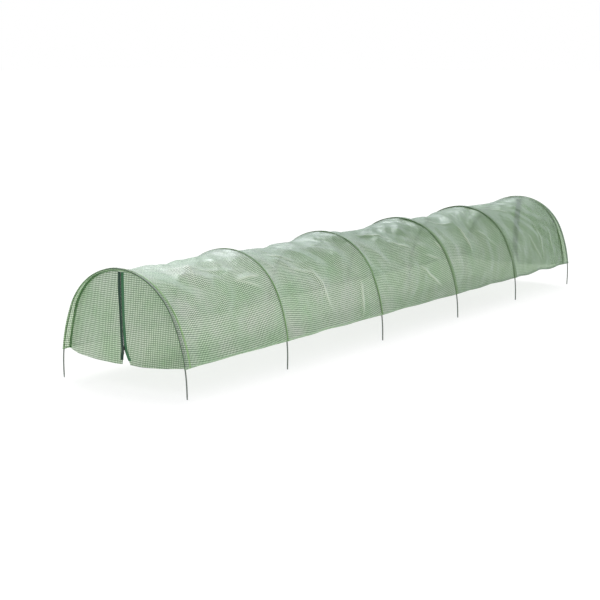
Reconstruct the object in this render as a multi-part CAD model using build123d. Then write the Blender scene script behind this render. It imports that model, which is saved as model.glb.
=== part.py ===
from build123d import *
import os
from math import asin, cos, radians, sin

# Low growing tunnel: rod hoops pushed into the soil, a film cover with a sleeve over each hoop,
# and a flat end wall at both ends with a zip down its middle.
# Frame: Y runs along the tunnel with the front end at -Y, X runs across, Z is up from the leg tips.

# Driving sizes in millimetres and degrees
tunnel_length = 2900.0
tunnel_width = 590.0
tunnel_height = 425.0
hem_height = 105.0
shoulder_height = 30.0
shoulder_turn = 26.0
bay_shares = [0.1948, 0.2224, 0.2086, 0.1855, 0.1887]
hoop_lean_angles = [-1.1, 2.7, 0.0, -2.7, 0.0, 5.4]
rod_diameter = 5.0
tip_length = 12.0
tip_flat = 1.6

film = 1.5
roof_sags = [20.0, 28.0, 26.0, 24.0, 18.0]
waist_pull = 5.0
sleeve_width = 20.0
sleeve_seam = 4.0
end_fold = 26.0
hem_fold = 8.0
wall_droop = 22.0
wall_droop_steps = 12
seam_gap = 0.3

zip_tape_width = 11.0
zip_tape_thickness = 1.0
coil_width = 4.0
coil_thickness = 2.4
zip_top_margin = 14.0
mouth_width = 36.0
mouth_height = 50.0
tape_foot_gap = 13.0
slider_width = 9.0
slider_length = 12.0
slider_plate = 1.1
pull_width = 6.0
pull_length = 24.0
pull_thickness = 1.2
binding_width = 9.0

# Sizes that follow from them
rod_radius = rod_diameter / 2
cover_offset = rod_radius + seam_gap
hoop_half_width = tunnel_width / 2 - rod_radius
hoop_crown = tunnel_height - cover_offset - film
last = len(bay_shares)
crown_reaches = [tunnel_height * sin(radians(hoop_lean_angles[end])) for end in (0, last)]
middle = (tunnel_length + sum(crown_reaches)) / 2
hoop_stations = [sum(bay_shares[:i]) * tunnel_length - middle for i in range(last + 1)]
wall_offset = cover_offset - film - seam_gap


def hoop_plane(index):
    """Plane of one hoop: its x runs across the tunnel and its y runs up the hoop.

    The hoops are pushed into the soil by hand, so some lean. A positive lean tips to the back.
    """
    lean = radians(hoop_lean_angles[index])
    return Plane(
        origin=(0, hoop_stations[index], 0),
        x_dir=(1, 0, 0),
        z_dir=(0, -cos(lean), sin(lean)),
    )


def bay_planes(index):
    """Planes at the start, middle and end of a bay's film, beside the sleeves of its hoops."""
    start_width = end_fold if index == 0 else sleeve_width / 2
    end_width = end_fold if index == last - 1 else sleeve_width / 2
    start = hoop_plane(index).offset(-start_width - seam_gap)
    end = hoop_plane(index + 1).offset(end_width + seam_gap)
    middle = Plane(
        origin=(start.origin + end.origin) / 2,
        x_dir=(1, 0, 0),
        z_dir=start.z_dir + end.z_dir,
    )
    return start, middle, end


def arch_radii(half_width, crown):
    """Radii of the side arcs and the crown arc, from tangency with the legs and each other."""
    turn = radians(shoulder_turn)
    rise = crown - shoulder_height
    narrowing = (1 - sin(turn)) / cos(turn)
    side_radius = (rise - narrowing * half_width) / (1 - narrowing)
    crown_radius = side_radius + (half_width - side_radius) / cos(turn)
    return side_radius, crown_radius


def side_point(half_width, crown, angle, offset):
    """Point of the right side arc, where an angle of zero is the arc's lower end."""
    side_radius = arch_radii(half_width, crown)[0]
    outer = side_radius + offset
    return half_width - side_radius + outer * cos(angle), shoulder_height + outer * sin(angle)


def side_angle(half_width, crown, height, offset):
    """Angle on the side arc at a height, or zero below the arc."""
    outer = arch_radii(half_width, crown)[0] + offset
    return asin(max(0.0, height - shoulder_height) / outer)


def arch_width_at(height, offset, half_width=hoop_half_width, crown=hoop_crown):
    """Half width of the arch at a height on its legs or side arcs."""
    return side_point(half_width, crown, side_angle(half_width, crown, height, offset), offset)[0]


def arch_line(half_width, crown, foot, offset=0.0):
    """The arch as three tangent arcs, moved outward by the offset, in a flat sketch.

    The side arcs are long and nearly straight. They start at shoulder height, low on the legs,
    and straight legs continue them down where the foot lies below that height.
    """
    lowest = side_angle(half_width, crown, foot, offset)
    turn = radians(shoulder_turn)
    low = side_point(half_width, crown, lowest, offset)
    half_way = side_point(half_width, crown, (lowest + turn) / 2, offset)
    knee = side_point(half_width, crown, turn, offset)
    top = (0, crown + offset)
    edges = [
        ThreePointArc(low, half_way, knee),
        ThreePointArc(knee, top, (-knee[0], knee[1])),
        ThreePointArc((-knee[0], knee[1]), (-half_way[0], half_way[1]), (-low[0], low[1])),
    ]
    if foot < shoulder_height:
        edges.insert(0, Line((low[0], foot), low))
        edges.append(Line((-low[0], low[1]), (-low[0], foot)))
    return edges


def arch_band(half_width, crown, foot, inner, outer):
    """Flat face between two offsets of the arch, open at the bottom."""
    outside = arch_line(half_width, crown, foot, outer)
    inside = arch_line(half_width, crown, foot, inner)
    left = Line(outside[-1] @ 1, inside[-1] @ 1)
    right = Line(outside[0] @ 0, inside[0] @ 0)
    return make_face(outside + inside + [left, right])


def sweep_on_hoop(index, profile_points, foot, hole_points=None):
    """Carries a closed profile along one hoop's arch.

    A profile point is (along the tunnel, outward from the rod's centre line).
    """
    plane = hoop_plane(index)
    path = plane * Wire(arch_line(hoop_half_width, hoop_crown, foot))
    profile_plane = Plane(origin=path @ 0, x_dir=plane.z_dir * -1, z_dir=path % 0)
    outward = 1 if profile_plane.y_dir.X > 0 else -1
    solids = []
    for points in (profile_points, hole_points):
        if points:
            flat = [(along, outward * out) for along, out in points]
            profile = profile_plane * make_face(Polyline(*flat, close=True))
            solids.append(sweep(profile, path=path))
    return solids[0] - solids[1] if hole_points else solids[0]


def hoop(index):
    """Round rod bent to the arch, with a flattened chisel tip on each leg."""
    plane = hoop_plane(index)
    path = plane * Wire(arch_line(hoop_half_width, hoop_crown, tip_length))
    start = plane.from_local_coords((hoop_half_width, tip_length, 0))
    rod = sweep(Plane(origin=start, z_dir=path % 0) * Circle(rod_radius), path=path)
    tips = []
    for side in (-1, 1):
        foot = plane.from_local_coords((side * hoop_half_width, 0, 0))
        top = plane.from_local_coords((side * hoop_half_width, tip_length, 0))
        axis = top - foot
        tip_end = Plane(origin=foot, x_dir=(1, 0, 0), z_dir=axis)
        tip_top = Plane(origin=top, x_dir=(1, 0, 0), z_dir=axis)
        blade = Ellipse(rod_radius, tip_flat / 2)
        tips.append(loft([tip_end * blade, tip_top * Circle(rod_radius)]))
    return rod + tips


def middle_sleeve(index):
    """Double strip of film round a hoop, sewn to itself along both sides of the rod."""
    half = sleeve_width / 2
    outside = cover_offset + film
    seam = half - sleeve_seam
    under = rod_radius * 0.9
    profile = [
        (-half, outside),
        (half, outside),
        (half, outside - 2 * film),
        (seam, outside - 2 * film),
        (under, -outside),
        (-under, -outside),
        (-seam, outside - 2 * film),
        (-half, outside - 2 * film),
    ]
    hole = [
        (-seam, cover_offset),
        (seam, cover_offset),
        (under, -cover_offset),
        (-under, -cover_offset),
    ]
    return sweep_on_hoop(index, profile, hem_height, hole)


def end_sleeve(index):
    """Edge of the cover folded round an end hoop and sewn down where the end wall starts."""
    inward = 1 if index == 0 else -1
    outside = cover_offset + film
    inner_edge = end_fold
    seam = end_fold - sleeve_seam
    profile = [
        (-outside, outside),
        (inner_edge, outside),
        (inner_edge, outside - 2 * film),
        (seam, outside - 2 * film),
        (rod_radius, -outside),
        (-outside, -outside),
    ]
    hole = [
        (-cover_offset, cover_offset),
        (seam, cover_offset),
        (rod_radius, -cover_offset),
        (-cover_offset, -cover_offset),
    ]
    profile = [(inward * along, out) for along, out in profile]
    hole = [(inward * along, out) for along, out in hole]
    return sweep_on_hoop(index, profile, hem_height, hole)


def sleeve(index):
    return end_sleeve(index) if index in (0, last) else middle_sleeve(index)


def bay_panel(index):
    """Saddle of film between two hoops, with the roof sagging midway along the bay."""
    foot = hem_height + hem_fold + seam_gap
    sections = []
    for plane, sag in zip(bay_planes(index), (0, 1, 0)):
        half_width = hoop_half_width - waist_pull * sag
        crown = hoop_crown - roof_sags[index] * sag
        band = arch_band(half_width, crown, foot, cover_offset, cover_offset + film)
        sections.append(plane * band)
    return loft(sections)


def hem_strip(index, side):
    """Bottom edge of a bay's film, folded up on itself to a double strip."""
    sections = []
    for plane, sag in zip(bay_planes(index), (0, 1, 0)):
        half_width = hoop_half_width - waist_pull * sag
        crown = hoop_crown - roof_sags[index] * sag
        corners = []
        for height, offset in (
            (hem_height, cover_offset - film),
            (hem_height, cover_offset + film),
            (hem_height + hem_fold, cover_offset + film),
            (hem_height + hem_fold, cover_offset - film),
        ):
            corners.append((side * arch_width_at(height, offset, half_width, crown), height))
        sections.append(plane * make_face(Polyline(*corners, close=True)))
    return loft(sections)


def end_plane(index):
    """Plane of the end wall's outer face, set in from its hoop by the folded edge."""
    inward = -1 if index == 0 else 1
    return hoop_plane(index).offset(inward * (end_fold - 2 * film))


def wall_half_width():
    return zip_tape_width + coil_width / 2 + seam_gap


def wall_hem(x):
    """Height of the end wall's bottom edge, which hangs slack between the legs."""
    return hem_height - wall_droop * (1 - abs(x / arch_width_at(hem_height, wall_offset)) ** 4)


def zip_top():
    return hoop_crown - cover_offset - zip_top_margin


def mouth_foot():
    return wall_hem(0)


def mouth_top():
    return mouth_foot() + mouth_height


def end_wall_half(index, side):
    """Half of the end wall, cut back along the zip and the mouth, with a slack bottom edge."""
    outline = arch_line(hoop_half_width, hoop_crown, hem_height, wall_offset)
    reach = arch_width_at(hem_height, wall_offset)
    stations = [reach * (2 * i / wall_droop_steps - 1) for i in range(1, wall_droop_steps)]
    hem = [(x, wall_hem(x)) for x in stations]
    closing = Polyline((-reach, hem_height), *hem, (reach, hem_height))
    face = make_face(outline + [closing])
    edge = wall_half_width()
    cut = make_face(
        Polyline(
            (-tunnel_width * side, 0),
            (edge * side + mouth_width / 2 * side, 0),
            (edge * side + mouth_width / 2 * side, mouth_foot()),
            (edge * side, mouth_top()),
            (edge * side, tunnel_height),
            (-tunnel_width * side, tunnel_height),
            close=True,
        )
    )
    inward = -film if index == 0 else film
    return extrude(end_plane(index) * (face - cut), amount=inward)


def zip_tape(index, side):
    """Woven tape beside the coil, turning out along the mouth at its foot."""
    outer = wall_half_width() - seam_gap
    inner = coil_width / 2 + seam_gap
    foot = mouth_foot() + tape_foot_gap
    spread = mouth_width / 2 * (1 - tape_foot_gap / mouth_height)
    points = [
        (inner, zip_top()),
        (inner, mouth_top()),
        (inner + spread, foot),
        (outer + spread, foot),
        (outer, mouth_top()),
        (outer, zip_top()),
    ]
    face = make_face(Polyline(*[(side * x, z) for x, z in points], close=True))
    inward = -zip_tape_thickness if index == 0 else zip_tape_thickness
    return extrude(end_plane(index) * face, amount=inward)


def zip_coil(index):
    """Closed row of coil teeth above the slider."""
    bottom = mouth_top() + slider_length + seam_gap
    plane = end_plane(index)
    height = zip_top() - bottom
    block = Pos(0, (zip_top() + bottom) / 2, 0) * Box(coil_width, height, coil_thickness)
    block = fillet(block.edges().filter_by(Axis.Y), coil_thickness * 0.3)
    return plane * block


def zip_slider(index):
    """Slider at the head of the mouth: two plates on a post, and a pull tab hanging in front."""
    outward = 1 if index == 0 else -1
    plane = end_plane(index).offset(-outward * zip_tape_thickness / 2)
    base = mouth_top()
    wide = slider_width / 2
    neck = slider_width * 0.32
    outline = Polyline(
        (-neck, base),
        (neck, base),
        (wide, base + slider_length * 0.55),
        (wide, base + slider_length),
        (-wide, base + slider_length),
        (-wide, base + slider_length * 0.55),
        close=True,
    )
    slot = zip_tape_thickness / 2 + seam_gap
    plates = []
    for face in (-1, 1):
        inner_face = plane.offset(face * slot)
        plates.append(extrude(inner_face * make_face(outline), amount=face * slider_plate))
    middle = base + slider_length / 2
    post = plane * Pos(0, middle, 0) * Box(coil_width - 2 * seam_gap, slider_length / 2, 2 * slot)
    tab_middle = base + slider_length * 0.7 - pull_length / 2
    lift = outward * (slot + slider_plate + pull_thickness / 2)
    tab = plane * Pos(0, tab_middle, lift) * Box(pull_width, pull_length, pull_thickness)
    return plates[0] + plates[1] + post + tab


def seam_binding(index):
    """Narrow tape that joins the end wall's edge to the folded edge of the cover."""
    outer = wall_offset - seam_gap
    band = arch_band(hoop_half_width, hoop_crown, hem_height, outer - binding_width, outer)
    plane = end_plane(index)
    outward = 1 if index == 0 else -1
    plane = plane.offset(outward * seam_gap)
    return extrude(plane * band, amount=outward * film)


def write(shape, node):
    export_step(shape, f"parts/{node}.step")


def main():
    os.makedirs("parts", exist_ok=True)
    for index in range(last + 1):
        write(hoop(index), f"hoop_{index + 1}")
        write(sleeve(index), f"hoop_sleeve_{index + 1}")
    for index in range(last):
        write(bay_panel(index), f"cover_bay_{index + 1}")
        write(hem_strip(index, -1), f"hem_left_{index + 1}")
        write(hem_strip(index, 1), f"hem_right_{index + 1}")
    for end, index in (("front", 0), ("back", last)):
        write(end_wall_half(index, -1), f"{end}_wall_left")
        write(end_wall_half(index, 1), f"{end}_wall_right")
        write(zip_tape(index, -1), f"{end}_zip_tape_left")
        write(zip_tape(index, 1), f"{end}_zip_tape_right")
        write(zip_coil(index), f"{end}_zip_coil")
        write(zip_slider(index), f"{end}_zip_slider")
        write(seam_binding(index), f"{end}_seam_binding")


main()
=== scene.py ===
import math

import bpy
import numpy as np
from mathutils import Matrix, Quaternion, Vector


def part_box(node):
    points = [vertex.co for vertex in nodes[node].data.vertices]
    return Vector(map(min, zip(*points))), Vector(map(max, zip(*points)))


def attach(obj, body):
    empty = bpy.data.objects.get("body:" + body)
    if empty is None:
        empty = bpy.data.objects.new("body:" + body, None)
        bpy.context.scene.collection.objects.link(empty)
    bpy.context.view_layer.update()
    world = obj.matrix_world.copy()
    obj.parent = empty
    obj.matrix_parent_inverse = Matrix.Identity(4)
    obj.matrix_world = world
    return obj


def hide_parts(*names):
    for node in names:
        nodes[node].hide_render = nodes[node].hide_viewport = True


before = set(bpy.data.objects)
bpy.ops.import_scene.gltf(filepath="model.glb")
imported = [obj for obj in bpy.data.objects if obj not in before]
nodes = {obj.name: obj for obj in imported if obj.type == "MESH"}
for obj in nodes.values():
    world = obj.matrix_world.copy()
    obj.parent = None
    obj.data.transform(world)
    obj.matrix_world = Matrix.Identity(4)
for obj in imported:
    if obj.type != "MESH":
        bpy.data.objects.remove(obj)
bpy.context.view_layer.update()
mm = 0.001
hoopCount = 6
bayCount = hoopCount - 1
print("frame loaded")


def hexToLinear(code):
    # sRGB hex to linear light: c/12.92 under the toe, ((c + 0.055)/1.055)^2.4 above it
    srgb = np.array([int(code[i:i + 2], 16) for i in (0, 2, 4)]) / 255
    linear = np.where(srgb <= 0.04045, srgb / 12.92, ((srgb + 0.055) / 1.055) ** 2.4)
    return (*[float(c) for c in linear], 1.0)


def addNode(tree, kind, settings=None, inputs=None):
    # one node, its plain settings, and inputs that are either values or sockets to link from
    node = tree.nodes.new(kind)
    for name, value in (settings or {}).items():
        setattr(node, name, value)
    for name, value in (inputs or {}).items():
        if isinstance(value, bpy.types.NodeSocket):
            tree.links.new(value, node.inputs[name])
        else:
            node.inputs[name].default_value = value
    return node


def newMaterial(name):
    material = bpy.data.materials.new(name)
    material.use_nodes = True
    material.node_tree.nodes.clear()
    return material, material.node_tree


def finishMaterial(tree, shader):
    addNode(tree, "ShaderNodeOutputMaterial", None, {"Surface": shader})


# The tunnel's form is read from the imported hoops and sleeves.

def hoopStand(number):
    # Where a hoop meets the ground along the tunnel, and its lean, from its lowest and highest points.
    node = nodes[f"hoop_{number}"]
    points = np.empty(3 * len(node.data.vertices))
    node.data.vertices.foreach_get("co", points)
    matrix = np.array(node.matrix_world)
    points = points.reshape(-1, 3) @ matrix[:3, :3].T + matrix[:3, 3]
    foot = points[points[:, 2] < points[:, 2].min() + 2 * mm].mean(axis=0)
    top = points[points[:, 2] > points[:, 2].max() - 1 * mm].mean(axis=0)
    return float(foot[1]), math.atan2(top[1] - foot[1], top[2])


def readTunnel():
    # The third hoop stands upright, so its box gives the rod, the crown and the width.
    low, high = map(np.array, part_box("hoop_3"))
    radius = (high[1] - low[1]) / 2
    sleeveLow, sleeveHigh = map(np.array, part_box("hoop_sleeve_3"))
    stands = [hoopStand(number) for number in range(1, hoopCount + 1)]
    return {
        "rodRadius": radius,
        "crown": high[2] - radius,
        "halfWidth": high[0] - radius,
        "hem": sleeveLow[2],
        "filmOffset": sleeveHigh[2] - high[2] + radius,
        "stations": np.array([station for station, _ in stands]),
        "leans": np.array([lean for _, lean in stands]),
    }


tunnel = readTunnel()
# The legs are straight up to the shoulder, and the side arcs above it turn by the shoulder turn.
archForm = {"shoulder": 0.030, "shoulderTurn": math.radians(26)}
halfTurn = math.pi / 2


def archRadii(halfWidth, crown):
    # The side arcs turn by the shoulder turn; both radii follow from tangency at the knees.
    turn = archForm["shoulderTurn"]
    narrowing = (1 - math.sin(turn)) / math.cos(turn)
    side = (crown - archForm["shoulder"] - narrowing * halfWidth) / (1 - narrowing)
    top = side + (halfWidth - side) / math.cos(turn)
    return side, top


def archPoint(way, halfWidth, crown, foot, offset):
    # way runs from -1 at the left foot over 0 at the crown to 1 at the right foot, by arc length.
    # Returns x, height along the hoop and the outward normal's two parts.
    side, top = archRadii(halfWidth, crown)
    turn = archForm["shoulderTurn"]
    sideR, topR = side + offset, top + offset
    lowest = np.arcsin(np.clip((foot - archForm["shoulder"]) / sideR, 0, 1))
    topLength = topR * (halfTurn - turn)
    sideLength = sideR * (turn - lowest)
    total = topLength + sideLength + np.maximum(archForm["shoulder"] - foot, 0)
    run = np.abs(way) * total
    onTop = run < topLength
    onSide = (~onTop) & (run < topLength + sideLength)
    angle = np.where(onTop, halfTurn - run / topR, turn - (run - topLength) / sideR)
    angle = np.where(onTop | onSide, angle, lowest)
    x = np.where(onTop, topR * np.cos(angle), halfWidth - side + sideR * np.cos(angle))
    z = np.where(onTop, crown - top + topR * np.sin(angle),
                 archForm["shoulder"] + sideR * np.sin(angle) - np.maximum(run - topLength - sideLength, 0))
    sign = np.where(way < 0, -1.0, 1.0)
    return sign * x, z, sign * np.cos(angle), np.sin(angle), total


def inTunnel(x, y, z, lean):
    # A point of a hoop's plane: z runs up the leaning hoop from the ground.
    return np.stack([x, y + z * np.sin(lean), z * np.cos(lean)], axis=-1)


def gridMesh(name, points, uv=None, closedColumns=False):
    # Joins a (rows, columns, 3) array of points into quads, wrapping the columns where they are closed.
    rows, columns = points.shape[:2]
    index = np.arange(rows * columns).reshape(rows, columns)
    if closedColumns:
        index = np.concatenate([index, index[:, :1]], axis=1)
    quads = np.stack([index[:-1, :-1], index[1:, :-1], index[1:, 1:], index[:-1, 1:]], axis=-1)
    quads = quads.reshape(-1, 4)
    mesh = bpy.data.meshes.new(name)
    mesh.vertices.add(rows * columns)
    mesh.vertices.foreach_set("co", points.reshape(-1).astype(np.float32))
    mesh.loops.add(quads.size)
    mesh.loops.foreach_set("vertex_index", quads.reshape(-1).astype(np.int32))
    mesh.polygons.add(len(quads))
    mesh.polygons.foreach_set("loop_start", np.arange(0, quads.size, 4, dtype=np.int32))
    mesh.update(calc_edges=True)
    mesh.polygons.foreach_set("use_smooth", np.ones(len(quads), dtype=bool))
    if uv is not None:
        layer = mesh.uv_layers.new(name="cloth")
        layer.data.foreach_set("uv", uv.reshape(-1, 2)[quads.reshape(-1)].reshape(-1).astype(np.float32))
    mesh.validate()
    piece = bpy.data.objects.new(name, mesh)
    bpy.context.scene.collection.objects.link(piece)
    return piece


def blocksMesh(name, points, flip=False):
    # Many equal closed grids in one mesh: (blocks, rows, columns, 3), wrapped over the columns.
    blocks, rows, columns = points.shape[:3]
    index = np.arange(blocks * rows * columns).reshape(blocks, rows, columns)
    index = np.concatenate([index, index[:, :, :1]], axis=2)
    quads = np.stack([index[:, :-1, :-1], index[:, 1:, :-1], index[:, 1:, 1:], index[:, :-1, 1:]], axis=-1)
    quads = quads.reshape(-1, 4)
    if flip:
        quads = quads[:, ::-1]
    mesh = bpy.data.meshes.new(name)
    mesh.from_pydata(points.reshape(-1, 3).tolist(), [], quads.tolist())
    mesh.polygons.foreach_set("use_smooth", np.ones(len(quads), dtype=bool))
    piece = bpy.data.objects.new(name, mesh)
    bpy.context.scene.collection.objects.link(piece)
    return piece


def place(piece, material, slotName, *replaced):
    piece.data.materials.clear()
    piece.data.materials.append(material)
    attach(piece, "root")
    if replaced:
        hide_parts(*replaced)


# Materials

filmLook = {
    "gridPitch": 7.4 * mm,
    "threadWidth": 1.95 * mm,
    "threadEdge": (0.62, 0.38),       # where the thread starts and is whole, as shares of its width
    "threadRelief": (0.3, 0.3 * mm),  # strength, height
    "threadFade": 0.7,
    "patchScale": 5.0,
    "patchRange": (0.36, 0.64),
    # Painted shade: the colour and run that paint the film darker towards the back of the tunnel.
    "paintedShade": "748b66",
    "paintedShadeRun": (-0.7, 1.4),           # metres along the tunnel
    "mostPaintedShade": 0.95,
    # Painted shade: the roof near the crown is painted darker behind the first bay.
    "roofPaintedShade": 0.7,
    "roofRun": (0.04, 0.26),          # metres down from the crown
    "roofPaintedShadeRun": (-1.3, -0.6),
    # Colour of the fold ridges: partly the film's stress-whitening, partly a painted highlight.
    "ridgeWhiteAndHighlight": "f4f6ea",
    "crinkle": 0.6,
    "crinkleDepth": 9 * mm,
    "crinkleScales": (14.0, 42.0),
    "fineCrinkle": 0.35,
    "driftScale": 9.0,
    "driftReach": 0.09,
    "glow": 0.5,
    "clearTint": "eaf6ea",
    "lastBayRun": (0.85, 1.3),
    "lastBayClear": 2.1,
    "sheenTint": "f2f8ff",
    "roughness": 0.38,
    "skinIndex": 1.5,
    "mostShine": 0.20,
}


def ramp(tree, value, run, low, high, smooth=False):
    # Runs evenly from low to high while the value crosses the run.
    kind = "SMOOTHSTEP" if smooth else "LINEAR"
    node = addNode(tree, "ShaderNodeMapRange", {"interpolation_type": kind},
                   {"Value": value, "From Min": run[0], "From Max": run[1], "To Min": low, "To Max": high})
    return node.outputs[0]


def maths(tree, operation, first, second, clamp=False):
    node = addNode(tree, "ShaderNodeMath", {"operation": operation, "use_clamp": clamp},
                   {0: first, 1: second})
    return node.outputs[0]


def blend(tree, factor, low, high):
    # Two colours, each a hex code or a socket, mixed by a factor.
    low, high = [hexToLinear(colour) if isinstance(colour, str) else colour for colour in (low, high)]
    node = addNode(tree, "ShaderNodeMix", {"data_type": "RGBA"}, {"Factor": factor, "A": low, "B": high})
    return node.outputs["Result"]


def gridMask(tree, split):
    # One where a thread runs: the distance to the nearest grid line of the flat cloth is under half
    # the thread's width, softened over a quarter of it.
    edge = [filmLook["threadWidth"] * share for share in filmLook["threadEdge"]]
    toLine = [maths(tree, "PINGPONG", split.outputs[axis], filmLook["gridPitch"] / 2) for axis in ("X", "Y")]
    bands = [ramp(tree, distance, edge, 0.0, 1.0, True) for distance in toLine]
    return maths(tree, "MAXIMUM", bands[0], bands[1])


def filmColour(tree, uv, split, mask, ridgeWhiteAndHighlightShare, bodyHex, threadHex):
    # Clouded foil with threads. It is painted darker olive towards the back of the tunnel and on the roof
    # near
    # the crown behind the first bay: painted shade, into which the threads pale too. Along the ridges of
    # sharp
    # folds it is whiter: partly the film's own stress-whitening, partly a painted highlight.
    cloud = addNode(tree, "ShaderNodeTexNoise", None,
                    {"Vector": uv, "Scale": filmLook["patchScale"], "Detail": 4.0, "Roughness": 0.6})
    unshadedBody = blend(tree, ramp(tree, cloud.outputs["Fac"], filmLook["patchRange"], 0.0, 1.0), *bodyHex)
    # Painted shade, darker towards the back of the tunnel; the threads pale into the same shade colour.
    far = ramp(tree, split.outputs["X"], filmLook["paintedShadeRun"], 0.0, filmLook["mostPaintedShade"])
    around = addNode(tree, "ShaderNodeMath", {"operation": "ABSOLUTE"}, {0: split.outputs["Y"]})
    # Painted shade on the roof near the crown, growing behind the first bay.
    top = ramp(tree, around.outputs[0], filmLook["roofRun"], filmLook["roofPaintedShade"], 0.0, True)
    behind = ramp(tree, split.outputs["X"], filmLook["roofPaintedShadeRun"], 0.0, 1.0)
    paintedShadeShare = maths(tree, "ADD", far, maths(tree, "MULTIPLY", top, behind), True)
    body = blend(tree, paintedShadeShare, unshadedBody, filmLook["paintedShade"])
    thread = blend(tree, maths(tree, "MULTIPLY", far, filmLook["threadFade"]), threadHex, filmLook["paintedShade"])
    return blend(tree, ridgeWhiteAndHighlightShare, blend(tree, mask, body, thread), filmLook["ridgeWhiteAndHighlight"])


def filmRelief(tree, uv, mask):
    # Crinkles: cones over scattered points, at two sizes, pulled out of shape by a slow noise. The
    # threads stand a little proud of them.
    drift = addNode(tree, "ShaderNodeTexNoise", None,
                    {"Vector": uv, "Scale": filmLook["driftScale"], "Detail": 2.0})
    reach = (filmLook["driftReach"], filmLook["driftReach"], 0.0)
    bent = addNode(tree, "ShaderNodeVectorMath", {"operation": "MULTIPLY_ADD"},
                   {0: drift.outputs["Color"], 1: reach, 2: uv})
    wide, fine = [addNode(tree, "ShaderNodeTexVoronoi", None, {"Vector": bent.outputs[0], "Scale": scale})
                  for scale in filmLook["crinkleScales"]]
    crinkle = addNode(tree, "ShaderNodeMath", {"operation": "MULTIPLY_ADD"},
                      {0: fine.outputs["Distance"], 1: filmLook["fineCrinkle"], 2: wide.outputs["Distance"]})
    crinkled = addNode(tree, "ShaderNodeBump", None,
                       {"Strength": filmLook["crinkle"], "Distance": filmLook["crinkleDepth"],
                        "Height": crinkle.outputs[0]})
    strength, height = filmLook["threadRelief"]
    relief = addNode(tree, "ShaderNodeBump", None,
                     {"Strength": strength, "Distance": height, "Height": mask,
                      "Normal": crinkled.outputs[0]})
    return relief.outputs[0]


def filmSkin(tree, film, relief):
    # The smooth skin's sheen over the film. A sheet has a skin on both faces, so the inside face gets
    # the inverse index.
    shine = addNode(tree, "ShaderNodeBsdfAnisotropic", None,
                    {"Color": hexToLinear(filmLook["sheenTint"]), "Roughness": filmLook["roughness"],
                     "Normal": relief})
    geometry = addNode(tree, "ShaderNodeNewGeometry")
    index = ramp(tree, geometry.outputs["Backfacing"], (0.0, 1.0), filmLook["skinIndex"],
                 1 / filmLook["skinIndex"])
    edge = addNode(tree, "ShaderNodeFresnel", None, {"IOR": index})
    share = maths(tree, "MINIMUM", edge.outputs[0], filmLook["mostShine"])
    return addNode(tree, "ShaderNodeMixShader", None, {0: share, 1: film, 2: shine.outputs[0]})


def filmMaterial(name, clearShare, threadShare, bodyHex, threadHex):
    # Woven-grid polyethylene film: a milky green foil laminated over a net of darker threads.
    # The foil lets part of the light straight through and spreads the rest, so it glows when lit
    # from behind; its smooth skin gives the pale bluish sheen and the streaks along the folds.
    # The two shares are how much of the light the foil and the threads let straight through.
    material, tree = newMaterial(name)
    uv = addNode(tree, "ShaderNodeUVMap", {"uv_map": "cloth"}).outputs["UV"]
    split = addNode(tree, "ShaderNodeSeparateXYZ", None, {"Vector": uv})
    mask = gridMask(tree, split)
    ridgeWhiteAndHighlightShare = addNode(tree, "ShaderNodeAttribute", {"attribute_name": "ridgeWhiteAndHighlightShare"}).outputs["Fac"]
    colour = filmColour(tree, uv, split, mask, ridgeWhiteAndHighlightShare, bodyHex, threadHex)
    spread = addNode(tree, "ShaderNodeBsdfTranslucent", None, {"Color": colour})
    matt = addNode(tree, "ShaderNodeBsdfDiffuse", None, {"Color": colour})
    cloth = addNode(tree, "ShaderNodeMixShader", None,
                    {0: filmLook["glow"], 1: matt.outputs[0], 2: spread.outputs[0]})
    clear = addNode(tree, "ShaderNodeBsdfTransparent", None, {"Color": hexToLinear(filmLook["clearTint"])})
    # The last bay's film is clearer, so the end wall and its zip show through it.
    milky = ramp(tree, split.outputs["X"], filmLook["lastBayRun"], 1 - clearShare,
                 1 - clearShare * filmLook["lastBayClear"])
    share = ramp(tree, mask, (0.0, 1.0), milky, 1 - threadShare)
    # Along the fold ridges the film is milkier and whiter: partly its own stress-whitening, partly a painted
    # highlight.
    film = addNode(tree, "ShaderNodeMixShader", None,
                   {0: maths(tree, "MAXIMUM", share, ridgeWhiteAndHighlightShare), 1: clear.outputs[0], 2: cloth.outputs[0]})
    skin = filmSkin(tree, film.outputs[0], filmRelief(tree, uv, mask))
    finishMaterial(tree, skin.outputs[0])
    return material


def objectNoise(tree, scale, detail):
    # Fine noise fixed to the object.
    coords = addNode(tree, "ShaderNodeTexCoord")
    noise = addNode(tree, "ShaderNodeTexNoise", None,
                    {"Vector": coords.outputs["Object"], "Scale": scale, "Detail": detail})
    return noise.outputs["Fac"]


def rodMaterial():
    # Galvanised steel rod: dull mid grey zinc with faint drawn streaks, only softly shiny.
    material, tree = newMaterial("galvanisedRod")
    tint = blend(tree, objectNoise(tree, 180.0, 3.0), "575d58", "747a75")
    steel = addNode(tree, "ShaderNodeBsdfPrincipled", None,
                    {"Base Color": tint, "Metallic": 0.75, "Roughness": 0.45})
    finishMaterial(tree, steel.outputs[0])
    return material


def tapeMaterial(name, low, high):
    # Woven polyester zip tape: dark green, matt, with a fine rib across it.
    material, tree = newMaterial(name)
    coords = addNode(tree, "ShaderNodeTexCoord")
    rib = addNode(tree, "ShaderNodeTexWave", {"bands_direction": "Z"},
                  {"Vector": coords.outputs["Object"], "Scale": 160.0, "Distortion": 0.4})
    relief = addNode(tree, "ShaderNodeBump", None,
                     {"Strength": 0.4, "Distance": 0.3 * mm, "Height": rib.outputs["Fac"]})
    tape = addNode(tree, "ShaderNodeBsdfPrincipled", None,
                   {"Base Color": blend(tree, rib.outputs["Fac"], low, high), "Roughness": 0.8,
                    "Normal": relief.outputs[0]})
    finishMaterial(tree, tape.outputs[0])
    return material


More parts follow.
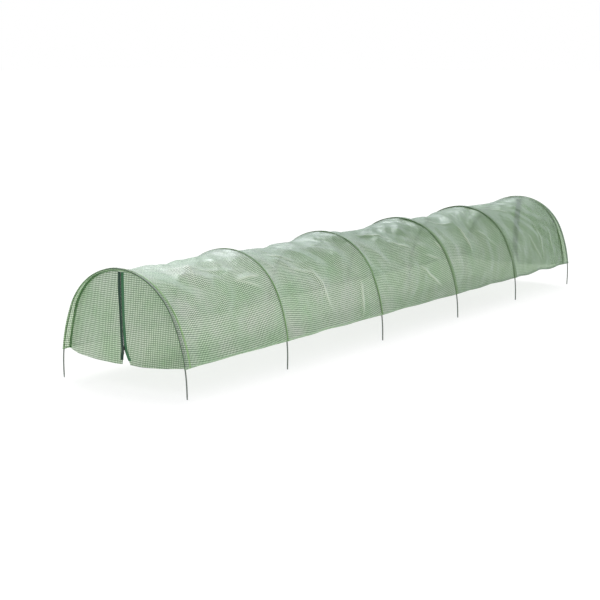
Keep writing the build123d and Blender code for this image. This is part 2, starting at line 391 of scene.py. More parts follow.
def darkMaterial(name, low, high, roughness):
    # Black-green moulded nylon or enamel, or sewing thread, with a slight mottle.
    material, tree = newMaterial(name)
    tint = blend(tree, objectNoise(tree, 400.0, 2.0), low, high)
    nylon = addNode(tree, "ShaderNodeBsdfPrincipled", None, {"Base Color": tint, "Roughness": roughness})
    finishMaterial(tree, nylon.outputs[0])
    return material


film = filmMaterial("wovenGridFilm", 0.34, 0.06, ("cfeac4", "f5f7ec"), "264a26")
doubleFilm = filmMaterial("doubleWovenGridFilm", 0.12, 0.03, ("a4cf92", "b4d49e"), "3a6434")
sleeveFilm = filmMaterial("oliveSleeveFilm", 0.06, 0.03, ("a4c98a", "b2d397"), "6f9a5c")
hemFilm = filmMaterial("foldedHemFilm", 0.25, 0.10, ("d3e6c8", "dfecd4"), "7d9c76")
bindingTape = filmMaterial("greenBindingTape", 0.05, 0.02, ("74a06a", "82a972"), "3a6636")
rodZinc = rodMaterial()
darkTape = tapeMaterial("darkZipTape", "0d2a1c", "16382a")
# The front zip's right tape is a lighter copy of the same tape: painted sunlight on that side.
sunlitZipTape = tapeMaterial("zipTapePaintedSunlight", "2a5838", "3b6a48")
backTape = tapeMaterial("deepGreenZipTape", "0d3a20", "144527")
zipTapes = {"front": {"left": darkTape, "right": sunlitZipTape}, "back": {"left": backTape, "right": backTape}}
zipNylon = darkMaterial("zipNylon", "0b1a12", "16281c", 0.42)
zipEnamel = darkMaterial("zipSliderEnamel", "101c15", "1c2c22", 0.35)
stitchThread = darkMaterial("greenSewingThread", "2c5a34", "3f7046", 0.7)
print("materials ready")


# The cover's bays

coverForm = {
    "rows": 220,
    "columnPitch": 4.4 * mm,
    "sag": [20 * mm, 28 * mm, 26 * mm, 24 * mm, 18 * mm],
    "waist": 5 * mm,
    "sagPower": 3.0,
    "seed": 11,
    "wavesPerBay": 12,
    "waveLengths": (0.06, 0.20),
    "bend": 0.018,
    "bendPeriods": (0.055, 0.07),
    "crumple": 5.5 * mm,
    # Width, height and most of the ridge whiteness: partly stress-whitening, partly a painted highlight.
    "whiteWidth": 9 * mm,
    "whiteHeight": 16 * mm,
    "hemFold": 8 * mm,
    "hemLift": 0.5 * mm,
    "hemWave": [1.0 * mm, 1.5 * mm, 1.5 * mm, 2.0 * mm, 5.0 * mm],
    "mostHeading": 1.5,    # radians from straight round the arch
    "foldSharpness": 1.3,
    "footCalm": 0.6,       # how much of the crumple is gone at the feet
    "mostWhite": 0.8,
    "hemTurns": 2.3,
    "hemStart": 0.3,
}

endWrap = tunnel["rodRadius"]  # the end bays reach round their hoops

# Each fold in metres: start along and round the film, end along and round, height, width.
namedFolds = [
    (-1.290, 0.05, -1.060, 0.13, 6 * mm, 26 * mm),
    (-1.180, 0.02, -1.250, 0.16, 5 * mm, 20 * mm),
    (-1.075, 0.19, -0.930, 0.20, 9 * mm, 30 * mm),
    (-1.075, 0.19, -0.960, 0.25, 7 * mm, 22 * mm),
    (-0.800, 0.06, -0.640, 0.14, 6 * mm, 22 * mm),
    (-0.613, 0.20, -0.585, 0.38, 10 * mm, 22 * mm),
    (-0.720, 0.18, -0.600, 0.22, 6 * mm, 18 * mm),
    (-0.345, 0.30, -0.390, 0.44, 10 * mm, 13 * mm),
    (-0.100, 0.04, 0.080, 0.14, 6 * mm, 22 * mm),
    (0.020, 0.16, 0.140, 0.20, 7 * mm, 20 * mm),
    (0.126, 0.29, 0.244, 0.41, 10 * mm, 18 * mm),
    (0.180, 0.25, 0.300, 0.30, 6 * mm, 14 * mm),
    (0.322, 0.21, 0.338, 0.27, 6 * mm, 9 * mm),
    (0.440, 0.06, 0.600, 0.12, 6 * mm, 20 * mm),
    (0.596, 0.14, 0.572, 0.29, 9 * mm, 11 * mm),
    (0.700, 0.18, 0.800, 0.30, 4 * mm, 18 * mm),
    (0.980, 0.06, 1.120, 0.12, 6 * mm, 20 * mm),
    (1.110, 0.26, 1.180, 0.42, 4 * mm, 15 * mm),
    (1.230, 0.22, 1.190, 0.42, 5 * mm, 14 * mm),
    (1.310, 0.26, 1.300, 0.42, 4 * mm, 12 * mm),
]


def folds(along, around, core=None):
    # Named folds at their places along and round the film, each a ridge: height * (1 - distance /
    # width)^sharpness inside its width, and tapering out towards both ends of its line. A core takes
    # the place of every width.
    total = np.zeros_like(along)
    for startAlong, startAround, endAlong, endAround, height, width in namedFolds:
        spanA, spanB = endAlong - startAlong, endAround - startAround
        length = math.hypot(spanA, spanB)
        run = ((along - startAlong) * spanA + (around - startAround) * spanB) / length ** 2
        near = np.clip(run, 0, 1)
        distance = np.hypot(along - startAlong - near * spanA, around - startAround - near * spanB)
        taper = np.clip(4 * near * (1 - near), 0.05, 1)
        total += height * taper * np.maximum(1 - distance / (core or width), 0) ** coverForm["foldSharpness"]
    return total


def crumple(along, around, seed):
    # Stiff film creases into flat facets: a sum of triangle waves, each with its own direction and
    # length, whose lines are bent by two slow sine waves so that none runs straight.
    rng = np.random.default_rng(seed)
    count = coverForm["wavesPerBay"]
    reach, periods = coverForm["bend"], coverForm["bendPeriods"]
    bend = [rng.uniform(0, 2 * math.pi) for _ in range(2)]
    a = along + reach * np.sin(around / periods[0] + bend[0])
    b = around + reach * np.sin(along / periods[1] + bend[1])
    total = np.zeros_like(along)
    for _ in range(count):
        length = rng.uniform(*coverForm["waveLengths"])
        heading = rng.uniform(-coverForm["mostHeading"], coverForm["mostHeading"])
        phase = rng.uniform(0, 1)
        turns = (a * math.sin(heading) + b * math.cos(heading)) / length + phase
        total += (4 * np.abs(turns - np.floor(turns + 0.5)) - 1) * length
    return coverForm["crumple"] * total / (np.mean(coverForm["waveLengths"]) * math.sqrt(count))


def bayLean(bay, share):
    leans = tunnel["leans"]
    return leans[bay] * (1 - share) + leans[bay + 1] * share


def hemHeight(bay, share):
    # The hem hangs straight between the hoops but for two slow waves, stronger in the last bay.
    turns = coverForm["hemTurns"] * share + coverForm["hemStart"] * bay
    size = coverForm["hemWave"][bay] * np.sin(math.pi * share)
    return tunnel["hem"] + size * np.sin(2 * math.pi * turns)


def coverPoints(bay, share, way, lift=0.0):
    # A bay's film at share 0..1 along the bay and way -1..1 round the arch: the hoop's arch, with
    # its crown lowered by sag * (1 - |2 share - 1|^power) and its sides drawn in, plus the crumple.
    start, end = tunnel["stations"][bay], tunnel["stations"][bay + 1]
    start -= endWrap if bay == 0 else 0
    end += endWrap if bay == bayCount - 1 else 0
    hang = 1 - np.abs(2 * share - 1) ** coverForm["sagPower"]
    crown = tunnel["crown"] - coverForm["sag"][bay] * hang
    halfWidth = tunnel["halfWidth"] - coverForm["waist"] * hang
    foot = hemHeight(bay, share)
    x, z, normalX, normalZ, total = archPoint(way, halfWidth, crown, foot, tunnel["filmOffset"])
    along = start + share * (end - start)
    around = way * total
    loose = np.sqrt(hang) * (1 - coverForm["footCalm"] * np.minimum(np.abs(way), 1) ** 3)
    push = loose * (crumple(along, around, coverForm["seed"] + bay) + folds(along, around))
    x = x + normalX * (push + lift)
    z = z + normalZ * (push + lift)
    uv = np.stack([along, around], axis=-1)
    return inTunnel(x, along, z, bayLean(bay, share)), uv, float(np.max(total))


def coverBay(bay):
    # Rows run round the arch and columns along the bay, both evenly.
    length = tunnel["stations"][bay + 1] - tunnel["stations"][bay]
    columns = int(round(length / coverForm["columnPitch"])) + 1
    way, share = np.meshgrid(np.linspace(1, -1, coverForm["rows"]), np.linspace(0, 1, columns), indexing="ij")
    points, uv, halfArc = coverPoints(bay, share, way)
    piece = gridMesh(f"coverSheet{bay + 1}", points[:, ::-1], uv[:, ::-1])
    # The share of whiter film along the fold ridges is the folds' height inside a narrow core: partly the
    # film's own stress-whitening, partly a painted highlight.
    ridge = folds(uv[..., 0], uv[..., 1], coverForm["whiteWidth"]) / coverForm["whiteHeight"]
    ridgeWhiteAndHighlightShare = piece.data.attributes.new("ridgeWhiteAndHighlightShare", "FLOAT", "POINT")
    white = np.clip(ridge, 0, coverForm["mostWhite"])
    ridgeWhiteAndHighlightShare.data.foreach_set("value", white[:, ::-1].reshape(-1).astype(np.float32))
    number = bay + 1
    place(piece, film, "cover_film", f"cover_bay_{number}")


def coverHem(bay, side):
    # The hem's profile is a narrow U: down inside the film, round its edge, and up outside it.
    fold = coverForm["hemFold"]
    heights = np.array([1, 0.66, 0.33, 0.03, -0.04, 0.03, 0.33, 0.66, 1]) * fold
    lifts = np.array([-1, -1, -1, -0.8, 0, 0.8, 1, 1, 1]) * coverForm["hemLift"]
    length = tunnel["stations"][bay + 1] - tunnel["stations"][bay]
    columns = int(round(length / (2 * coverForm["columnPitch"]))) + 1
    sign = 1 if side == "right" else -1
    reach = archPoint(np.array(1.0), tunnel["halfWidth"], tunnel["crown"], tunnel["hem"], 0.0)[4]
    rise, share = np.meshgrid(heights, np.linspace(0, 1, columns), indexing="ij")
    points, uv, _ = coverPoints(bay, share, sign * (1 - rise / reach), lifts[:, None])
    if sign < 0:
        points, uv = points[:, ::-1], uv[:, ::-1]
    piece = gridMesh(f"hem{side.capitalize()}{bay + 1}", points, uv)
    place(piece, hemFilm, "double_film", f"hem_{side}_{bay + 1}")


for bay in range(bayCount):
    coverBay(bay)
for bay in range(bayCount):
    for side in ("left", "right"):
        coverHem(bay, side)
print("cover sheets and hems made")


# Sleeves round the hoops

sleeveForm = {
    "rows": 200,
    "slack": 0.6 * mm,
    "half": [7 * mm, 4.5 * mm, 5.5 * mm, 11 * mm, 12 * mm, 10 * mm],
    "under": 0.5 * mm,   # the channel's seams lie this far under the cover's line
    "over": 0.6 * mm,    # and the strip this far over it
    "bulge": 0.3 * mm,
    "turnIn": 2 * mm,
    "foldDrop": 1.5 * mm,
}


def sweepProfile(name, hoop, profile):
    # Carries a profile of (along the tunnel, outward) points round a hoop's arch.
    way = np.linspace(1, -1, sleeveForm["rows"])
    x, z, normalX, normalZ, total = archPoint(way, tunnel["halfWidth"], tunnel["crown"], tunnel["hem"], 0.0)
    along, out = np.array(profile).T
    px = x[:, None] + normalX[:, None] * out
    pz = z[:, None] + normalZ[:, None] * out
    lean = tunnel["leans"][hoop]
    points = inTunnel(px, tunnel["stations"][hoop] + np.zeros_like(px), pz, lean)
    points[..., 1] += along * math.cos(lean)
    points[..., 2] -= along * math.sin(lean)
    girth = np.concatenate([[0], np.cumsum(np.hypot(np.diff(along), np.diff(out)))])
    run = tunnel["stations"][hoop] + girth[None, :]
    uv = np.stack(np.broadcast_arrays(run, (way * total)[:, None]), axis=-1)
    return gridMesh(name, points, uv), 2 * total, float(girth[-1])


def channelProfile(hoop):
    # Round the rod's underside by a half circle, then out to the seams close beside the rod.
    radius = tunnel["rodRadius"] + sleeveForm["slack"]
    bend = np.linspace(math.pi, 2 * math.pi, 9)
    under = np.stack([radius * np.cos(bend), radius * np.sin(bend)], axis=-1)
    half = sleeveForm["half"][hoop]
    out = tunnel["filmOffset"] - sleeveForm["under"]
    over = tunnel["filmOffset"] + sleeveForm["over"]
    tuck = half - sleeveForm["turnIn"]
    if 0 < hoop < hoopCount - 1:
        # A strip outside the cover too, joined to the channel at both seams.
        strip = [(half, over), (0, over + sleeveForm["bulge"]), (-half, over), (-tuck, out)]
        return np.concatenate([strip, under, [(tuck, out), (half, over)]])
    # An end hoop's film folds round the rod and runs back inside to the end wall's seam.
    inward = 1 if hoop == 0 else -1
    wrap = np.linspace(1.55 * halfTurn, 1.5 * math.pi, 11)
    around = np.stack([radius * np.cos(wrap), radius * np.sin(wrap)], axis=-1)
    back = [(0.5 * half, -0.3 * out), (half, out - sleeveForm["foldDrop"])]
    profile = np.concatenate([around, back])
    return profile * np.array([inward, 1])


def hoopSleeve(hoop):
    piece, length, width = sweepProfile(f"hoopSleeve{hoop + 1}", hoop, channelProfile(hoop))
    place(piece, sleeveFilm if 0 < hoop < hoopCount - 1 else doubleFilm, "double_film",
          f"hoop_sleeve_{hoop + 1}")


for hoop in range(hoopCount):
    hoopSleeve(hoop)
print("sleeves made")


# End walls

wallForm = {
    "rows": 110,
    "columns": 84,
    "droop": 22 * mm,
    "droopPower": {"left": 5.0, "right": 2.4},
    "seamDepth": {"front": {"left": 34 * mm, "right": 24 * mm}, "back": {"left": 44 * mm, "right": 50 * mm}},
    "crownDepth": 8 * mm,
    "middleDepth": 10 * mm,
    "ripple": 3 * mm,
    "ripples": [(1.0, 0.031, 0.09, 0.0), (0.6, 0.017, -0.05, 2.0)],   # height, length across and up, start
    "topGap": 0.2 * mm,
    "bindingWidth": 10 * mm,
    "bindingGap": 0.3 * mm,
    "bindingLift": 0.8 * mm,
    "clothRise": 0.3,
    # The shifts place each wall's cloth along the film's painted shade; the back wall's shift gives it more
    # of it.
    "clothShift": {"front": -0.3, "back": 0.55},
    "stripWidth": {"front": 9 * mm, "back": 16 * mm},
    "stripLift": 0.7 * mm,
}
zipForm = {
    "bow": -4 * mm,
    "top": 0.411,
    "mouth": 0.135,
    "tapeFoot": 0.097,
    "spread": {"left": 8 * mm, "right": 20 * mm},
    "mouthCurve": 1.15,
    "tapeInner": 0.9 * mm,
    "tapeOuter": {"front": 14 * mm, "back": 15 * mm},
    "tapeLift": 1.0 * mm,
    "tapeDip": 0.6 * mm,
    "filmOverlap": 3 * mm,
    "filmStart": 2 * mm,
    "footRun": 20 * mm,
    "coilPitch": 2.0 * mm,
    "coilHalf": 2.1 * mm,
    "coilFlat": 0.6,
    "coilLift": 1.2 * mm,
    "coilFoot": 13 * mm,
    "wire": 0.55 * mm,
    "sliderHead": 6 * mm,
}
sides = {"left": -1, "right": 1}
filmInside = tunnel["filmOffset"] - 1.2 * mm


def archEdge(z, offset):
    # Half width of the arch at a height: the leg's, the side arc's or the crown arc's circle.
    side, top = archRadii(tunnel["halfWidth"], tunnel["crown"])
    shoulder, turn = archForm["shoulder"], archForm["shoulderTurn"]
    sideR, topR = side + offset, top + offset
    kneeZ = shoulder + sideR * math.sin(turn)
    onSide = tunnel["halfWidth"] - side + np.sqrt(np.maximum(sideR ** 2 - (z - shoulder) ** 2, 0))
    onTop = np.sqrt(np.maximum(topR ** 2 - (z - tunnel["crown"] + top) ** 2, 0))
    return np.where(z < shoulder, tunnel["halfWidth"] + offset, np.where(z < kneeZ, onSide, onTop))


def zipMiddle(z):
    # The zip bows sideways a little: bow * sin over its height.
    share = np.clip((z - zipForm["mouth"]) / (zipForm["top"] - zipForm["mouth"]), 0, 1)
    return zipForm["bow"] * np.sin(math.pi * share)


def mouthSpread(z, sideName):
    # Below the slider the two edges part in a V with slightly curved sides.
    share = np.clip((zipForm["mouth"] - z) / (zipForm["mouth"] - tunnel["hem"] + wallForm["droop"]), 0, 1)
    return zipForm["spread"][sideName] * share ** zipForm["mouthCurve"]


def seamDepth(end, x):
    # The seam's depth behind its hoop grows from the crown to the legs with (x / half width)^2.
    leg = np.where(x < 0, wallForm["seamDepth"][end]["left"], wallForm["seamDepth"][end]["right"])
    wide = np.clip(np.abs(x) / tunnel["halfWidth"], 0, 1) ** 2
    return wallForm["crownDepth"] + (leg - wallForm["crownDepth"]) * wide


def wallDepth(end, x, z):
    # How far the wall stands behind its hoop. The seam lies deepest at the legs and shallow at the
    # crown, and the slack middle bulges out: depth = seam * (x/edge)^2 + middle * (1 - (x/edge)^2),
    # with slow ripples height * sin(x/across + z/up + start) that die away at the seam.
    edge = np.maximum(archEdge(np.maximum(z, tunnel["hem"]), filmInside), 5 * mm)
    share = np.clip(np.abs(x) / edge, 0, 1)
    wide = np.clip(edge / tunnel["halfWidth"], 0, 1) ** 2
    seam = seamDepth(end, np.where(x < 0, -edge, edge))
    waves = [height * np.sin(x / across + z / up + start)
             for height, across, up, start in wallForm["ripples"]]
    ripple = wallForm["ripple"] * sum(waves)
    return seam * share ** 2 + (wallForm["middleDepth"] + ripple * wide) * (1 - share ** 2)


def onWall(end, x, z, lift):
    # Puts flat wall coordinates at their place; lift moves a point out of the wall, away from the tunnel.
    hoop = 0 if end == "front" else hoopCount - 1
    inward = 1 if end == "front" else -1
    lean = tunnel["leans"][hoop]
    depth = inward * (wallDepth(end, x, z) - lift)
    points = inTunnel(x, tunnel["stations"][hoop] + depth * math.cos(lean), z, lean)
    points[..., 2] -= depth * math.sin(lean)
    return points


def wallPiece(name, end, x, z, lift, flip, material, slotName, replaced,
              closedColumns=False):
    # A grid on an end wall. Its rows and columns run so that the normals face away from the tunnel.
    points = onWall(end, x, z, lift)
    uv = np.stack([x + wallForm["clothShift"][end], z + wallForm["clothRise"]], axis=-1)
    if flip == (end == "front"):
        points, uv = points[:, ::-1], uv[:, ::-1]
    piece = gridMesh(name, points, uv, closedColumns)
    place(piece, material, slotName, *replaced)


def endWallHalf(end, sideName):
    # Rows climb from the hem to the crown, closer together near the top, and run from the zip to the
    # arch. The hem hangs by droop * (1 - (x / half width)^power).
    sign = sides[sideName]
    top = tunnel["crown"] + filmInside - wallForm["topGap"]
    rise, across = np.meshgrid(np.sin(np.linspace(0, halfTurn, wallForm["rows"])),
                               np.linspace(0, 1, wallForm["columns"]), indexing="ij")
    z = tunnel["hem"] + (top - tunnel["hem"]) * rise
    edge = archEdge(z, filmInside)
    hang = wallForm["droop"] * (1 - rise) ** 3
    # Above the tapes' feet the film ends a little inside the tape's outer edge.
    onTape = np.clip((z - hang - zipForm["tapeFoot"]) / zipForm["footRun"], 0, 1)
    start = zipForm["tapeInner"] + zipForm["filmStart"]
    start = start + (zipForm["tapeOuter"][end] - zipForm["filmOverlap"] - start) * onTape
    inner = start + mouthSpread(z - hang, sideName) + sign * zipMiddle(z)
    inner = np.minimum(inner, edge)
    x = inner + (edge - inner) * across
    z = z - hang * (1 - np.abs(x / edge[0, 0]) ** wallForm["droopPower"][sideName])
    wallPiece(f"{end}Wall{sideName.capitalize()}", end, sign * x, z, 0.0, sign > 0, film, "cover_film",
              [f"{end}_wall_{sideName}"])


def seamBinding(end):
    # A tape round the wall's edge: rows round the arch, columns from the film inwards.
    way, step = np.meshgrid(np.linspace(1, -1, 200), np.linspace(0, 1, 4), indexing="ij")
    offset = filmInside - wallForm["bindingGap"] - step * wallForm["bindingWidth"]
    x, z, _, _, total = archPoint(way, tunnel["halfWidth"], tunnel["crown"], tunnel["hem"], offset)
    wallPiece(f"{end}Binding", end, x, z, wallForm["bindingLift"], True, bindingTape, "double_film",
              [f"{end}_seam_binding"])


def endSeamStrip(end):
    # Where the end wall is sewn in, a narrow strip lies on the cover and follows the seam's depth.
    bay = 0 if end == "front" else bayCount - 1
    way, step = np.meshgrid(np.linspace(1, -1, 220), np.linspace(-0.5, 0.5, 3), indexing="ij")
    x = archPoint(way, tunnel["halfWidth"], tunnel["crown"], tunnel["hem"], 0.0)[0]
    depth = endWrap + seamDepth(end, x) + wallForm["stripWidth"][end] * step
    length = tunnel["stations"][bay + 1] - tunnel["stations"][bay] + endWrap
    share = depth / length if end == "front" else 1 - depth / length
    points, uv, halfArc = coverPoints(bay, share, way, wallForm["stripLift"])
    if end == "front":
        points, uv = points[:, ::-1], uv[:, ::-1]
    piece = gridMesh(f"{end}SeamStrip", points, uv)
    place(piece, sleeveFilm, "double_film")


def zipTapeStrip(end, sideName):
    # Rows climb the zip and columns cross the tape, which dips to the film with the cube of the share
    # across. Below the slider it follows the mouth.
    sign = sides[sideName]
    z, across = np.meshgrid(np.linspace(zipForm["tapeFoot"], zipForm["top"], 90), np.linspace(0, 1, 5),
                            indexing="ij")
    x = zipForm["tapeInner"] + (zipForm["tapeOuter"][end] - zipForm["tapeInner"]) * across
    x = sign * (x + mouthSpread(z, sideName)) + zipMiddle(z)
    lift = zipForm["tapeLift"] - zipForm["tapeDip"] * across ** 3
    wallPiece(f"{end}Tape{sideName.capitalize()}", end, x, z, lift, sign > 0, zipTapes[end][sideName],
              "zip_tape", [f"{end}_zip_tape_{sideName}"])


def zipCoilStrip(end):
    # A nylon wire wound in a flattened helix: x = half * sin t, depth = flat * half * cos t,
    # z = pitch * t / 2 pi.
    low = zipForm["mouth"] + zipForm["coilFoot"]
    turns = int((zipForm["top"] - low) / zipForm["coilPitch"])
    turn, ring = np.meshgrid(np.linspace(0, 2 * math.pi * turns, 12 * turns),
                             np.linspace(0, 2 * math.pi, 5, endpoint=False), indexing="ij")
    z = low + zipForm["coilPitch"] * turn / (2 * math.pi) + zipForm["wire"] * np.sin(ring)
    reach = zipForm["coilHalf"] + zipForm["wire"] * np.cos(ring)
    x = reach * np.sin(turn) + zipMiddle(z)
    lift = zipForm["coilLift"] + zipForm["coilFlat"] * reach * np.cos(turn)
    wallPiece(f"{end}Coil", end, x, z, lift, False, zipNylon, "zip_coil", [f"{end}_zip_coil"],
              closedColumns=True)


def roundedBlock(middle, half, power, count=(16, 24)):
    # Superellipsoid grid: each axis is half * sign(c) |c|^power of the sphere's own cosines.
    up, turn = np.meshgrid(np.linspace(-halfTurn, halfTurn, count[0]),
                           np.linspace(0, 2 * math.pi, count[1], endpoint=False), indexing="ij")

    def shaped(value):
        return np.sign(value) * np.abs(value) ** power

    x = middle[0] + half[0] * shaped(np.cos(up)) * shaped(np.cos(turn))
    lift = middle[1] + half[1] * shaped(np.cos(up)) * shaped(np.sin(turn))
    z = middle[2] + half[2] * shaped(np.sin(up))
    return x, lift, z


def zipSliderBody(end):
    # Three rounded blocks in one mesh: the slider's body, its bridge, and the pull hanging from it.
    # Each has its middle as x, lift and z, its half sizes and its power.
    head = zipForm["mouth"] + zipForm["sliderHead"]
    blocks = [
        ((0, 2.0 * mm, head), (4.6 * mm, 2.4 * mm, 6.2 * mm), 0.45),
        ((0, 5.0 * mm, head + 1 * mm), (1.2 * mm, 1.4 * mm, 3.4 * mm), 0.5),
        ((0, 5.6 * mm, head - 10 * mm), (3.0 * mm, 0.7 * mm, 11.0 * mm), 0.35),
    ]
    grids = [roundedBlock(*block) for block in blocks]
    x = np.stack([grid[0] for grid in grids])
    lift = np.stack([grid[1] for grid in grids])
    z = np.stack([grid[2] for grid in grids])
    points = onWall(end, x, z, lift)
    piece = blocksMesh(f"{end}Slider", points, flip=end == "back")
    place(piece, zipEnamel, "zip_slider", f"{end}_zip_slider")


for end in ("front", "back"):
    for side in sides:
        endWallHalf(end, side)
        zipTapeStrip(end, side)
    seamBinding(end)
    endSeamStrip(end)
    zipCoilStrip(end)
    zipSliderBody(end)
print("end walls and zips made")


# Stitches

stitchForm = {"pitch": 7 * mm, "length": 4.6 * mm, "radius": 0.55 * mm, "rings": 5, "sides": 6,
              "edge": 1 * mm, "lift": 0.3 * mm, "inWall": 4 * mm, "onWall": 1.4 * mm}


def stitches(name, path, outward, material, slotName):
    # A row of short threads on a path: each lies along the path, bowed out of the cloth by a half
    # sine, as a tube of a few rings that narrows to nothing at both ends. The path is a (points, 3)
    # polyline with outward normals.
    steps = np.linalg.norm(np.diff(path, axis=0), axis=1)
    girth = np.concatenate([[0], np.cumsum(steps)])
    count = int(girth[-1] / stitchForm["pitch"])
    centres = (np.arange(count) + 0.5) * stitchForm["pitch"]
    share = np.linspace(-0.5, 0.5, stitchForm["rings"])
    where = centres[:, None] + share * stitchForm["length"]
    line = np.stack([np.interp(where, girth, path[:, axis]) for axis in range(3)], axis=-1)
    normal = np.stack([np.interp(where, girth, outward[:, axis]) for axis in range(3)], axis=-1)
    normal /= np.linalg.norm(normal, axis=-1, keepdims=True)
    tangent = np.gradient(line, axis=1)
    tangent /= np.linalg.norm(tangent, axis=-1, keepdims=True)
    aside = np.cross(normal, tangent)
    ring = np.linspace(0, 2 * math.pi, stitchForm["sides"], endpoint=False)
    radius = stitchForm["radius"] * np.sqrt(np.clip(1 - (2 * share) ** 2, 0.02, 1))[None, :, None, None]
    bow = stitchForm["radius"] * np.cos(math.pi * share)[None, :, None, None]
    points = line[:, :, None] + bow * normal[:, :, None]
    spoke = np.cos(ring)[:, None] * normal[:, :, None] + np.sin(ring)[:, None] * aside[:, :, None]
    points = points + radius * spoke
    piece = blocksMesh(name, points, flip=True)
    place(piece, material, slotName)


def archStitches(name, hoop, along, offset, toEnd=None):
    # Round a hoop's arch at a distance along the tunnel from it, or out of an end wall when one is named.
    way = np.linspace(1, -1, 240)
    x, z, normalX, normalZ, _ = archPoint(way, tunnel["halfWidth"], tunnel["crown"], tunnel["hem"], offset)
    if toEnd:
        path = onWall(toEnd, x, z, along)
        away = np.array([0.0, -1.0 if toEnd == "front" else 1.0, 0.0]) + np.zeros_like(path)
    else:
        path = inTunnel(x, tunnel["stations"][hoop] + along + np.zeros_like(x), z, tunnel["leans"][hoop])
        away = np.stack([normalX, np.zeros_like(x), normalZ], axis=-1)
    stitches(name, path, away, stitchThread, "zip_tape")


for hoop in range(hoopCount):
    # An end hoop's sleeve has stitches on its inner side only.
    reach = sleeveForm["half"][hoop] - stitchForm["edge"]
    for sign, label in ((-1, "Before"), (1, "After")):
        if 0 < hoop < hoopCount - 1 or (hoop == 0) == (sign > 0):
            archStitches(f"sleeveStitches{label}{hoop + 1}", hoop, sign * reach,
                         tunnel["filmOffset"] + stitchForm["lift"])
for end, hoop in (("front", 0), ("back", hoopCount - 1)):
    archStitches(f"{end}SeamStitches", hoop, stitchForm["onWall"], filmInside - stitchForm["inWall"], end)
print("stitches made")


# Materials for the hoops that the frame brings

for number in range(1, hoopCount + 1):
    nodes[f"hoop_{number}"].data.materials.clear()
    nodes[f"hoop_{number}"].data.materials.append(rodZinc)


# Stage, light and camera

stageLook = {
    "floorSize": 60.0,
    "floorDrop": 0.2 * mm,
    "floorMatt": (0.85, 0.85, 0.85, 1),
    "floorWhite": 1.02,
    "floorShade": "a3b09a",
    "worldLight": 1.10,
    "sun": 1.9,
    "backWindow": 24.0,
    "lampAim": (0, 0, 0.2),
    "floorGlow": 0.72,
}


def makeFloor():
    # A white sweep. The camera sees it mostly as even white with faint shadows, and sees it as shaded
    # ground where it looks through the film.
    half = stageLook["floorSize"]
    line = np.linspace(-half, half, 3)
    y, x = np.meshgrid(line, line, indexing="ij")
    floor = gridMesh("floor", np.stack([x, y, np.zeros_like(x) - stageLook["floorDrop"]], axis=-1)[:, ::-1])
    material, tree = newMaterial("paleFloor")
    path = addNode(tree, "ShaderNodeLightPath")
    matt = addNode(tree, "ShaderNodeBsdfDiffuse", None, {"Color": stageLook["floorMatt"]})
    white = addNode(tree, "ShaderNodeEmission", None,
                    {"Color": (1, 1, 1, 1), "Strength": stageLook["floorWhite"]})
    shade = addNode(tree, "ShaderNodeBsdfDiffuse", None, {"Color": hexToLinear(stageLook["floorShade"])})
    pale = addNode(tree, "ShaderNodeMixShader", None,
                   {0: stageLook["floorGlow"], 1: matt.outputs[0], 2: white.outputs[0]})
    through = maths(tree, "GREATER_THAN", path.outputs["Transparent Depth"], 0.5)
    seen = addNode(tree, "ShaderNodeMixShader", None,
                   {0: through, 1: pale.outputs[0], 2: shade.outputs[0]})
    either = addNode(tree, "ShaderNodeMixShader", None,
                     {0: path.outputs["Is Camera Ray"], 1: matt.outputs[0], 2: seen.outputs[0]})
    finishMaterial(tree, either.outputs[0])
    floor.data.materials.append(material)


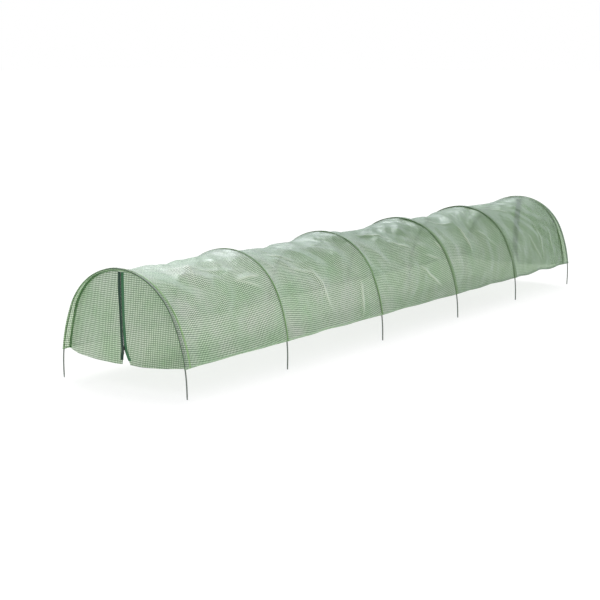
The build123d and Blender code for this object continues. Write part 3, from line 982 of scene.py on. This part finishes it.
def makeWorld():
    # Even studio light, with plain white behind the object.
    world = bpy.data.worlds.new("studio")
    bpy.context.scene.world = world
    world.use_nodes = True
    tree = world.node_tree
    tree.nodes.clear()
    path = addNode(tree, "ShaderNodeLightPath")
    soft = addNode(tree, "ShaderNodeBackground", None,
                   {"Color": (0.98, 0.99, 1.0, 1), "Strength": stageLook["worldLight"]})
    white = addNode(tree, "ShaderNodeBackground", None, {"Color": (1, 1, 1, 1), "Strength": 1.0})
    either = addNode(tree, "ShaderNodeMixShader", None,
                     {0: path.outputs["Is Camera Ray"], 1: soft.outputs[0], 2: white.outputs[0]})
    addNode(tree, "ShaderNodeOutputWorld", None, {"Surface": either.outputs[0]})


def addLamp(name, kind, spot, energy, colour, settings):
    # A lamp at a place, turned towards the middle of the tunnel.
    lamp = bpy.data.lights.new(name, kind)
    lamp.energy = energy
    lamp.color = colour
    for key, value in settings.items():
        setattr(lamp, key, value)
    holder = bpy.data.objects.new(name, lamp)
    holder.location = spot
    aim = Vector(stageLook["lampAim"]) - Vector(spot)
    holder.rotation_euler = aim.to_track_quat("-Z", "Y").to_euler()
    bpy.context.scene.collection.objects.link(holder)


cameraForm = {
    "place": (3.3422, -4.9710, 1.1630),
    "azimuth": 36.31,
    "elevation": 10.07,
    "roll": -0.27,
    "focalPixels": 1411.6,
    "picturePixels": 600,
    "sensor": 36,
}


def makeCamera():
    # The lens and place were fitted to the hoops' feet and the arches.
    camera = bpy.data.cameras.new("camera")
    camera.sensor_width = cameraForm["sensor"]
    camera.lens = cameraForm["sensor"] * cameraForm["focalPixels"] / cameraForm["picturePixels"]
    camera.clip_end = 200
    viewer = bpy.data.objects.new("camera", camera)
    a, e = math.radians(cameraForm["azimuth"]), math.radians(cameraForm["elevation"])
    back = Vector((math.sin(a) * math.cos(e), -math.cos(a) * math.cos(e), math.sin(e)))
    viewer.location = cameraForm["place"]
    roll = Quaternion((0, 0, 1), math.radians(cameraForm["roll"]))
    viewer.rotation_euler = (back.to_track_quat("Z", "Y") @ roll).to_euler()
    bpy.context.scene.collection.objects.link(viewer)
    bpy.context.scene.camera = viewer


makeFloor()
makeWorld()
addLamp("softSun", "SUN", (-2.2, 1.4, 4.0), stageLook["sun"], (1.0, 0.99, 0.96), {"angle": math.radians(40)})
addLamp("backWindow", "AREA", (-5.6, 5.4, 3.4), stageLook["backWindow"], (0.88, 0.94, 1.0),
        {"shape": "RECTANGLE", "size": 6.0, "size_y": 2.6})
makeCamera()
bpy.context.scene.view_settings.view_transform = "Standard"
print("stage ready")
